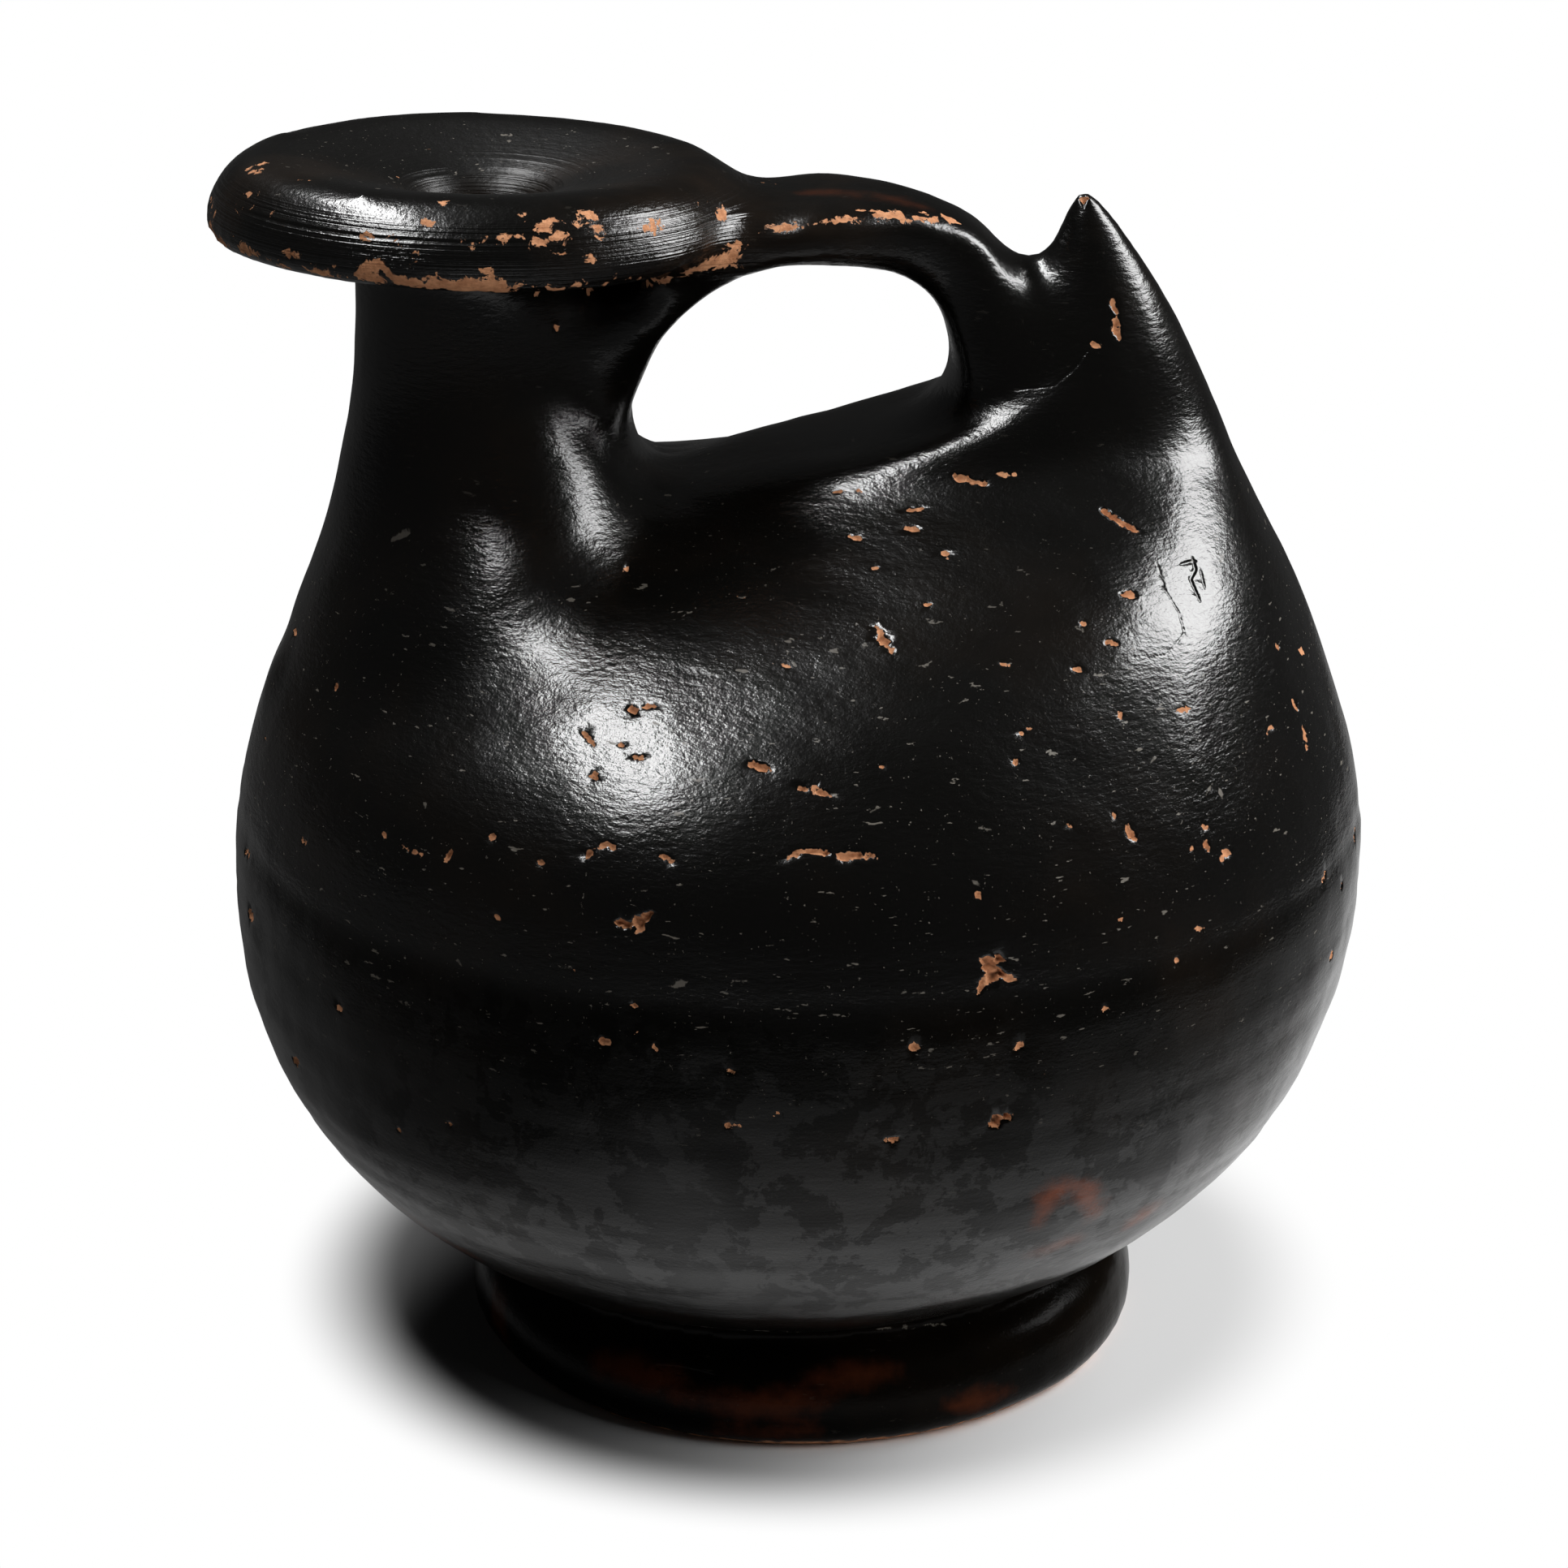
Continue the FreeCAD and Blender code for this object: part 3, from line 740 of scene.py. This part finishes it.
def weather(item):
    """Uneven hand-made surface, chips and wear, as shape and as numbers for the material."""
    mesh = item.data
    points = array(mesh.vertices, "co", 3) / MM
    tree = BVHTree.FromPolygons([tuple(p) for p in points], [tuple(f.vertices) for f in mesh.polygons])
    chips = on_surface(tree, CHIPS) + hidden_strokes(tree, HIDDEN_CHIPS, HIDDEN_SEED)
    edge_wear, scuffs, cracks, reds = [on_surface(tree, rows)
                                       for rows in (RIM_EDGE_WEAR, SCUFFS, CRACKS, REDS)]
    refine(item, chips, 0.4, 3)
    refine(item, cracks, 0.35, 5)

    points = array(mesh.vertices, "co", 3) / MM
    normals = array(mesh.vertex_normals, "vector", 3)
    x, y, z = points.T
    over_rim, from_axis = rim_height(points)
    rim = (ramp(over_rim, -2.2, -1.6) * np.maximum(ramp(from_axis, 15, 16.5), ramp(over_rim, 1, 3))
           * ramp(-from_axis, -37, -31.5))
    dish = ramp(over_rim, 0, 2) * ramp(-from_axis, -25, -19)
    face = rim * ramp(over_rim, -0.5, 0.5) * ramp(-over_rim, -8, -7)
    inside = is_inside(points, normals)

    # Distance in from the edge of each kind of mark, in millimetres
    tree = tree_of(points)
    chip, depth = field(points, tree, chips, 1.4)
    chip += 0.19 * waves(points, 1.2, 31) + 0.11 * waves(points, 0.6, 32)
    worn, _ = field(points, tree, edge_wear, 2.5)
    scuff, _ = field(points, tree, scuffs, 1.0)
    crack, _ = field(points, tree, cracks, 0.8)
    red, red_level = field(points, tree, reds, 6.0)

    # Wear along the rim's lower edge, in flakes on its face, and along the edge that it stands on
    rim_edge = -np.hypot(over_rim - 0.6, (from_axis - RIM_RADIUS) * 0.6)
    worn = np.maximum(worn, np.where(rim > 0.5, rim_edge + 0.5 + 0.9 * waves(points, 16, 3), -9))
    worn = np.maximum(worn, np.where(face > 0.5, -1.0 + 0.3 * waves(points, 9, 6), -9))
    foot_edge = -np.hypot(z - 1.0, np.hypot(x, y) - FOOT_RADIUS + 1.6)
    worn = np.maximum(worn, foot_edge - 0.7 + 0.6 * waves(points, 12, 4))

    # Clay that was never glazed: the hollow, the foot's flat and recess, and the bore
    recess = (normals[:, 2] < -0.8) & (z < FOOT_RECESS_DEPTH + 0.5)
    bore = (from_axis < BORE_RADIUS + 0.6) & (over_rim > -20) & (over_rim < 1) & (x < 0)
    bare = inside | (z < 0.25) | recess | bore

    shape = unevenness(points) * (1 - 0.7 * rim) * np.where(inside | (z < 0.4), 0, 1)
    pit = ramp(chip, -0.05, 0.35) * depth * (1 + 0.25 * waves(points, 1.3, 17))
    flake = ramp(worn + 0.5 * waves(points, 2.2, 21), 0.0, 0.5) * 0.12
    groove = 0.16 * ramp(crack, -0.06, 0.1)
    moved = shape - pit - flake - groove + lump_of(points) + swell_of(points)
    put(item, points + normals * moved[:, None])

    for name, values in (("chip", chip), ("deep", pit), ("worn", worn), ("scuff", scuff), ("red", red),
                         ("red_level", red_level), ("rim", rim), ("rise", over_rim), ("dish", dish),
                         ("bare", bare)):
        give(item, name, values)


def make_node(tree, kind, inputs=None, **settings):
    """Shader node with its settings, and with its inputs set or linked."""
    item = tree.nodes.new(kind)
    for key, value in settings.items():
        setattr(item, key, value)
    for key, value in (inputs or {}).items():
        if isinstance(value, bpy.types.NodeSocket):
            tree.links.new(value, item.inputs[key])
        else:
            item.inputs[key].default_value = value
    return item


class Shades:
    """Short names for the nodes of one material."""

    def __init__(self, name):
        self.material = bpy.data.materials.new(name)
        self.material.use_nodes = True
        self.tree = self.material.node_tree
        self.surface = self.tree.nodes["Principled BSDF"]
        self.place = make_node(self.tree, "ShaderNodeTexCoord").outputs["Object"]
        self.level = make_node(self.tree, "ShaderNodeSeparateXYZ", {0: self.place}).outputs[2]

    def feed(self, name, value):
        self.tree.links.new(value, self.surface.inputs[name])

    def math(self, operation, a, b=0.0, clamp=False):
        item = make_node(self.tree, "ShaderNodeMath", {0: a, 1: b}, operation=operation, use_clamp=clamp)
        return item.outputs[0]

    def attribute(self, name):
        return make_node(self.tree, "ShaderNodeAttribute", attribute_name=name).outputs["Fac"]

    def noise(self, scale, detail=2.0, roughness=0.5, place=None, distortion=0.0):
        item = make_node(self.tree, "ShaderNodeTexNoise", {
            "Vector": place or self.place, "Scale": scale, "Detail": detail, "Roughness": roughness,
            "Distortion": distortion})
        return item.outputs["Fac"]

    def stretched(self, x, y, z):
        item = make_node(self.tree, "ShaderNodeMapping", {"Vector": self.place, "Scale": (x, y, z)})
        return item.outputs[0]

    def step(self, value, low, high):
        item = make_node(self.tree, "ShaderNodeMapRange", {0: value, 1: low, 2: high},
                         interpolation_type="SMOOTHSTEP")
        return item.outputs[0]

    def blend(self, share, a, b):
        item = make_node(self.tree, "ShaderNodeMix", data_type="RGBA")
        for key, value in ((0, share), (6, a), (7, b)):
            if isinstance(value, bpy.types.NodeSocket):
                self.tree.links.new(value, item.inputs[key])
            else:
                item.inputs[key].default_value = value if key == 0 else (*value, 1)
        return item.outputs[2]

    def between(self, share, a, b):
        item = make_node(self.tree, "ShaderNodeMix", {0: share, 2: a, 3: b}, data_type="FLOAT")
        return item.outputs[0]

    def bump(self, value, distance, normal=None):
        inputs = {"Height": value, "Distance": distance, "Strength": 1.0}
        if normal:
            inputs["Normal"] = normal
        return make_node(self.tree, "ShaderNodeBump", inputs).outputs[0]


GLAZE = (0.0018, 0.0016, 0.0012)
GLAZE_BROWN = (0.014, 0.0085, 0.005)
RED = (0.125, 0.030, 0.010)
CLAY = (0.66, 0.32, 0.165)
CLAY_DARK = (0.42, 0.18, 0.085)
CLAY_PAINTED_PIT_SHADE = (0.09, 0.045, 0.025)
DUST = (0.20, 0.18, 0.15)


def where_bare(s, ragged):
    """Share of the surface where the clay shows: chips, worn places and what was never glazed."""
    chip = s.step(s.math("ADD", s.attribute("chip"), s.math("MULTIPLY", ragged, 0.8)), 0.0, 0.05)
    flaky = s.math("SUBTRACT", s.noise(520, 7, 0.66, distortion=0.5), 0.5)
    worn = s.step(s.math("ADD", s.attribute("worn"), s.math("MULTIPLY", flaky, 5.0)), 0.05, 0.15)
    return s.math("MAXIMUM", s.math("MAXIMUM", chip, worn), s.attribute("bare"))


def where_red(s):
    """Share of the surface where the glaze was misfired red."""
    rough_edge = s.math("MULTIPLY", s.math("SUBTRACT", s.noise(190, 5, 0.6), 0.5), 6.0)
    return s.step(s.math("ADD", s.attribute("red"), rough_edge), -1.6, 2.2)


def where_dusty(s, ragged):
    """Share of pale scuffs, specks and short scratches, most of them on the shoulder and in the dish."""
    scuff = s.step(s.math("ADD", s.attribute("scuff"), s.math("MULTIPLY", ragged, 0.9)), -0.05, 0.12)
    belt = s.math("MULTIPLY", s.step(s.level, 0.045, 0.075), s.step(s.level, 0.118, 0.088))
    belt = s.math("MAXIMUM", belt, s.attribute("dish"))
    fine_specks = s.step(s.noise(2000, 3, 0.65), 0.685, 0.72)
    scratches = s.step(s.noise(1.0, 3, 0.6, place=s.stretched(420, 420, 1500)), 0.68, 0.71)
    specks = s.math("MULTIPLY", s.math("MAXIMUM", fine_specks, scratches), s.between(belt, 0.05, 0.7))
    return s.math("MAXIMUM", s.math("MULTIPLY", scuff, 0.6), specks)


def glaze_colour(s, red, dust):
    """Near black glaze, browner round the rim and handle, with red patches and pale dust."""
    patches = s.step(s.noise(34, 4, 0.6), 0.45, 0.75)
    high = s.step(s.level, 0.124, 0.136)
    brown = s.math("MULTIPLY", patches, s.between(high, 0.3, 0.8))
    glaze = s.blend(brown, GLAZE, GLAZE_BROWN)
    glaze = s.blend(s.math("MULTIPLY", red, s.attribute("red_level")), glaze, RED)
    return s.blend(dust, glaze, DUST)


def glaze_gloss(s, red, lower):
    """Gloss of the glaze: full above the belly, thinner and blotched below it, none on the foot."""
    blotch = s.step(s.noise(170, 9, 0.7, distortion=0.3), 0.49, 0.52)
    region = s.step(s.noise(24, 3, 0.5), 0.36, 0.52)
    thin = s.between(s.math("MULTIPLY", blotch, region), 0.26, 0.13)
    gloss = s.between(lower, 0.95, thin)
    gloss = s.math("MULTIPLY", gloss, s.step(s.level, 0.013, 0.023))
    gloss = s.math("ADD", gloss, 0.03)
    gloss = s.math("MULTIPLY", gloss, s.between(s.attribute("dish"), 1.0, 0.55))
    return s.math("MULTIPLY", gloss, s.between(red, 1.0, 0.8))


def relief(s, clay, grain, lower):
    """Normal of the surface: leathery tooling, turning streaks, the rim's ridges and grainy clay."""
    leather = s.noise(1.0, 3, 0.6, place=s.stretched(750, 750, 1900), distortion=0.1)
    leather = s.math("MULTIPLY", leather, s.between(lower, 1.0, 0.35))
    streaks = s.noise(1.0, 4, 0.62, place=s.stretched(120, 120, 1300))
    rise = s.attribute("rise")
    ridges = make_node(s.tree, "ShaderNodeTexNoise", {"W": rise, "Scale": 2.6, "Detail": 3.0},
                       noise_dimensions="1D").outputs["Fac"]
    face = s.math("MULTIPLY", s.attribute("rim"), s.step(rise, 8.6, 6.0))
    normal = s.bump(leather, 0.00008)
    normal = s.bump(streaks, 0.00002, normal)
    normal = s.bump(s.noise(3000, 2, 0.5), 0.00002, normal)
    normal = s.bump(s.math("MULTIPLY", ridges, face), 0.00017, normal)
    normal = s.bump(s.math("MULTIPLY", grain, clay), 0.00018, normal)
    return s.bump(s.math("SUBTRACT", 1.0, clay), 0.00004, normal)


def glazed_clay():
    """Black gloss over orange clay: leathery glaze, red misfired patches, wear, chips and scuffs."""
    s = Shades("black_gloss")
    ragged = s.math("SUBTRACT", s.noise(1600, 4, 0.65), 0.5)
    clay = where_bare(s, ragged)
    red = where_red(s)
    dust = where_dusty(s, ragged)
    lower = s.step(s.level, 0.0705, 0.0655)
    grain = s.noise(900, 5, 0.7)
    body = s.blend(s.step(grain, 0.32, 0.66), CLAY_DARK, CLAY)
    # Painted shade: the clay turns near black in the deepest pits
    body = s.blend(s.step(s.attribute("deep"), 0.6, 1.3), body, CLAY_PAINTED_PIT_SHADE)
    dull = s.between(s.noise(60, 5, 0.6), 0.15, 0.27)
    dull = s.math("ADD", dull, s.math("MULTIPLY", dust, 0.3))
    dull = s.math("ADD", dull, s.math("MULTIPLY", s.attribute("dish"), 0.15))
    s.feed("Base Color", s.blend(clay, glaze_colour(s, red, dust), body))
    s.feed("Specular IOR Level", s.between(clay, glaze_gloss(s, red, lower), 0.25))
    s.feed("Roughness", s.between(clay, dull, 0.85))
    s.feed("Normal", relief(s, clay, grain, lower))
    s.surface.inputs["IOR"].default_value = 1.5
    return s.material


# Lamps: turn and rise in degrees, distance, size, level, what they point at, seen in the gloss or not
LAMPS = (
    ("right_box", 104, 38.5, 0.9, (0.38, 0.50), 0.42, (0, 0, 0.07), True),
    ("top_strip", -90, 67.5, 0.866, (0.87, 0.136), 0.72, (0, 0.215, 0.1), True),
    ("front_fill", 62, 36, 1.0, (0.6, 0.6), 0.34, (0, 0, 0.07), False),
)
ROOM = (0.025, 0.025, 0.025)

# Floor: its rings in millimetres, its pale colour and the darker colour of a shadow painted on its left,
# the place where it keeps the shadow, and the middle of the part that the gloss mirrors, in metres
FLOOR_RINGS, FLOOR_SIDES = (60, 120, 200, 320, 500, 800, 1300, 2500, 5000, 9000), 64
FLOOR_PALE, FLOOR_PAINTED_SHADOW = (0.88, 0.88, 0.88), (0.2, 0.2, 0.2)
SHADOW_MIDDLE, SHADOW_EDGE = (0.001, 0.008, 0), (0.051, 0.067)
MIRROR_MIDDLE = (0, 0.08, 0)


def add_camera():
    """Camera a little above the rim, looking down at the whole vessel."""
    data = bpy.data.cameras.new("camera")
    data.sensor_width = 36
    data.lens = data.sensor_width * FOCAL_PIXELS / PICTURE_PIXELS
    camera = bpy.data.objects.new("camera", data)
    camera.location = Vector(CAMERA) * MM
    camera.rotation_euler = (math.pi / 2 - CAMERA_DIP, 0, 0)
    bpy.context.scene.collection.objects.link(camera)
    bpy.context.scene.camera = camera


def add_lamp(name, turn, rise, away, size, level, target, shiny):
    """Soft box seen from the vessel at a turn (0 in front, 90 at the right) and a rise in degrees."""
    a, e = math.radians(turn), math.radians(rise)
    way = Vector((math.sin(a) * math.cos(e), -math.cos(a) * math.cos(e), math.sin(e)))
    data = bpy.data.lights.new(name, "AREA")
    data.shape = "RECTANGLE"
    data.size, data.size_y = size
    data.energy = level * 4 * math.pi * away ** 2 / math.sin(e) * 0.25 * math.pi
    lamp = bpy.data.objects.new(name, data)
    lamp.location = Vector(target) + way * away
    lamp.rotation_euler = (-way).to_track_quat("-Z", "Y").to_euler()
    lamp.visible_glossy = shiny
    bpy.context.scene.collection.objects.link(lamp)


def floor_disc():
    """Flat round floor, in rings of faces that grow outwards."""
    a = np.linspace(0, 2 * math.pi, FLOOR_SIDES, endpoint=False)
    points = [(0.0, 0.0, 0.0)]
    for r in FLOOR_RINGS:
        points += [(r * math.cos(t), r * math.sin(t), 0.0) for t in a]
    faces = [(0, 1 + k, 1 + (k + 1) % FLOOR_SIDES) for k in range(FLOOR_SIDES)]
    for i in range(len(FLOOR_RINGS) - 1):
        inner, outer = 1 + i * FLOOR_SIDES, 1 + (i + 1) * FLOOR_SIDES
        for k in range(FLOOR_SIDES):
            m = (k + 1) % FLOOR_SIDES
            faces.append((inner + k, outer + k, outer + m, inner + m))
    return new_object("floor", points, faces)


def distance_from(s, place, middle):
    """Distance between a place and a point, in a material."""
    item = make_node(s.tree, "ShaderNodeVectorMath", {0: place, 1: middle}, operation="DISTANCE")
    return item.outputs["Value"]


def add_floor():
    """Wide pale floor that keeps the vessel's shadow, has a painted shadow on its left and turns plain
    white around it.
    """
    floor = floor_disc()
    s = Shades("pale_floor")
    across = make_node(s.tree, "ShaderNodeSeparateXYZ", {0: s.place}).outputs[0]
    # Painted shadow: the floor's own colour turns darker towards its left side
    s.feed("Base Color", s.blend(s.step(across, 0.02, -0.045), FLOOR_PALE, FLOOR_PAINTED_SHADOW))
    s.surface.inputs["Roughness"].default_value = 1.0
    s.surface.inputs["Specular IOR Level"].default_value = 0.0

    # White outside the shadow; where the gloss mirrors it, painted shade makes it dimmer with the distance
    # and darker on its left side
    path = make_node(s.tree, "ShaderNodeLightPath")
    seen = s.math("MAXIMUM", path.outputs["Is Camera Ray"], path.outputs["Is Glossy Ray"])
    seen = s.math("MAXIMUM", seen, path.outputs["Is Transmission Ray"])
    outside = s.step(distance_from(s, s.place, SHADOW_MIDDLE), *SHADOW_EDGE)
    reach = distance_from(s, s.stretched(1.4, 1, 1), MIRROR_MIDDLE)
    far = s.math("ADD", s.math("MULTIPLY", s.step(reach, 0.13, 0.23), 0.7),
                 s.math("MULTIPLY", s.step(reach, 0.285, 0.305), 0.25))
    # Painted shade in the gloss's mirror image of the floor, darker on its left side
    far = s.math("MAXIMUM", far, s.math("MULTIPLY", s.step(across, 0.0, -0.09), 0.9))
    lit = s.math("SUBTRACT", 1.0, s.math("MULTIPLY", far, path.outputs["Is Glossy Ray"]))
    white = make_node(s.tree, "ShaderNodeEmission", {"Strength": lit})
    mix = make_node(s.tree, "ShaderNodeMixShader", {
        0: s.math("MULTIPLY", seen, outside), 1: s.surface.outputs[0], 2: white.outputs[0]})
    s.tree.links.new(mix.outputs[0], s.tree.nodes["Material Output"].inputs["Surface"])
    floor.data.materials.append(s.material)
    return floor


def add_room():
    """Dim grey surroundings and the plain picture settings."""
    world = bpy.data.worlds.new("room")
    bpy.context.scene.world = world
    world.use_nodes = True
    world.node_tree.nodes["Background"].inputs["Color"].default_value = (*ROOM, 1)
    bpy.context.scene.view_settings.view_transform = "Standard"


def main():
    """The vessel, its floor, camera and light."""
    askos = make_surface()
    weather(askos)
    askos.data.materials.clear()
    askos.data.materials.append(glazed_clay())
    count = len(askos.data.polygons)
    askos.data.polygons.foreach_set("material_index", [0] * count)
    askos.data.polygons.foreach_set("use_smooth", [True] * count)
    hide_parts("askos")
    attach(askos, "root")
    add_floor()
    add_camera()
    for lamp in LAMPS:
        add_lamp(*lamp)
    add_room()


main()
